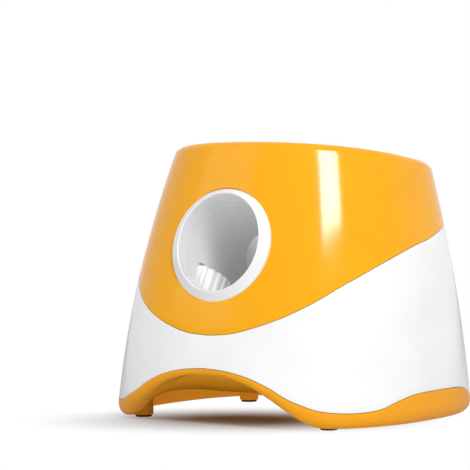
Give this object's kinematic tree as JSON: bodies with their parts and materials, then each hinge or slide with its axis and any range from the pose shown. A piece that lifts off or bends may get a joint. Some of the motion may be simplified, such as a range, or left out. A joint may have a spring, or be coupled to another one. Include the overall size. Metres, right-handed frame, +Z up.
{
  "type": "automatic dog ball launcher",
  "caption": "Freestanding automatic ball launcher for dogs: an open hopper feeds a rising barrel where two spinning wheels throw the ball out at the front.",
  "frame": {"origin": "on the floor, at the middle of the body's box", "axes": "+Z up, the ball is launched towards -Y, +X is the right side seen from the front"},
  "size_m": [0.279, 0.2709, 0.23],
  "materials": {
    "orange_shell": "glossy moulded orange-yellow",
    "orange_base": "satin moulded orange",
    "white_shell": "glossy moulded white",
    "grey_white": "satin light grey",
    "rubber": "black rubber",
    "tyre": "white ribbed rubber",
    "black_plastic": "matt black",
    "metal": "plated steel",
    "board": "green circuit board",
    "lens": "frosted lens",
    "cell": "sleeved cell",
    "button_orange": "satin orange",
    "button_grey": "satin grey"
  },
  "bodies": {
    "root": {"upper_shell": "orange_shell", "base": "orange_base", "lower_shell": "white_shell", "hopper_bowl": "white_shell", "launch_barrel": "white_shell", "muzzle_ring": "grey_white", "control_panel": "grey_white", "foot_pad_front_left": "rubber", "foot_pad_front_right": "rubber", "foot_pad_rear_left": "rubber", "foot_pad_rear_right": "rubber", "battery_tray": "black_plastic", "feed_gearbox": "black_plastic", "ball_switch": "black_plastic", "power_switch": "black_plastic", "distance_switch": "black_plastic", "buzzer": "black_plastic", "dc_jack": "black_plastic", "board_screw_1": "metal", "board_screw_2": "metal", "feed_motor": "metal", "left_motor": "metal", "right_motor": "metal", "left_motor_screw_1": "metal", "left_motor_screw_2": "metal", "right_motor_screw_1": "metal", "right_motor_screw_2": "metal", "control_board": "board", "led_lens_near": "lens", "led_lens_middle": "lens", "led_lens_far": "lens", "battery_cell_1": "cell", "battery_cell_2": "cell", "battery_cell_3": "cell", "battery_cell_4": "cell", "battery_cell_5": "cell", "battery_cell_6": "cell"},
    "left_wheel": {"left_wheel_hub": "grey_white", "left_wheel_tyre": "tyre", "left_motor_shaft": "metal"},
    "right_wheel": {"right_wheel_hub": "grey_white", "right_wheel_tyre": "tyre", "right_motor_shaft": "metal"},
    "feed_arm_body": {"feed_arm": "grey_white", "feed_arm_shaft": "metal"},
    "plunger": {"ball_switch_plunger": "black_plastic"},
    "power_key": {"power_button": "button_orange"},
    "distance_key": {"distance_button": "button_grey"},
    "door": {"battery_door": "orange_base", "battery_door_screw": "metal"}
  },
  "joints": [
    {"name": "left_wheel_spin", "type": "hinge", "parent": "root", "child": "left_wheel", "pos_m": [-0.057, -0.06937, 0.10811], "axis": [0, 0.5, 0.866], "continuous": true},
    {"name": "right_wheel_spin", "type": "hinge", "parent": "root", "child": "right_wheel", "pos_m": [0.057, -0.06937, 0.10811], "axis": [0, 0.5, 0.866], "continuous": true},
    {"name": "feed_arm_swing", "type": "hinge", "parent": "root", "child": "feed_arm_body", "pos_m": [0, -0.02342, 0.0377], "axis": [1, 0, 0], "range_deg": [0, 50]},
    {"name": "ball_switch_press", "type": "slide", "parent": "root", "child": "plunger", "axis": [0, 0.866, -0.5], "range_m": [0, 0.002], "stiffness_N_per_m": 120, "springref_m": -0.001},
    {"name": "power_button_press", "type": "slide", "parent": "root", "child": "power_key", "axis": [0, -0.9916, -0.1293], "range_m": [0, 0.0012], "stiffness_N_per_m": 600, "springref_m": -0.001},
    {"name": "distance_button_press", "type": "slide", "parent": "root", "child": "distance_key", "axis": [0, -0.9916, -0.1293], "range_m": [0, 0.0012], "stiffness_N_per_m": 600, "springref_m": -0.001},
    {"name": "battery_door_open", "type": "hinge", "parent": "root", "child": "door", "pos_m": [0, 0.0444, 0.0255], "axis": [-1, 0, 0], "range_deg": [0, 75]}
  ]
}
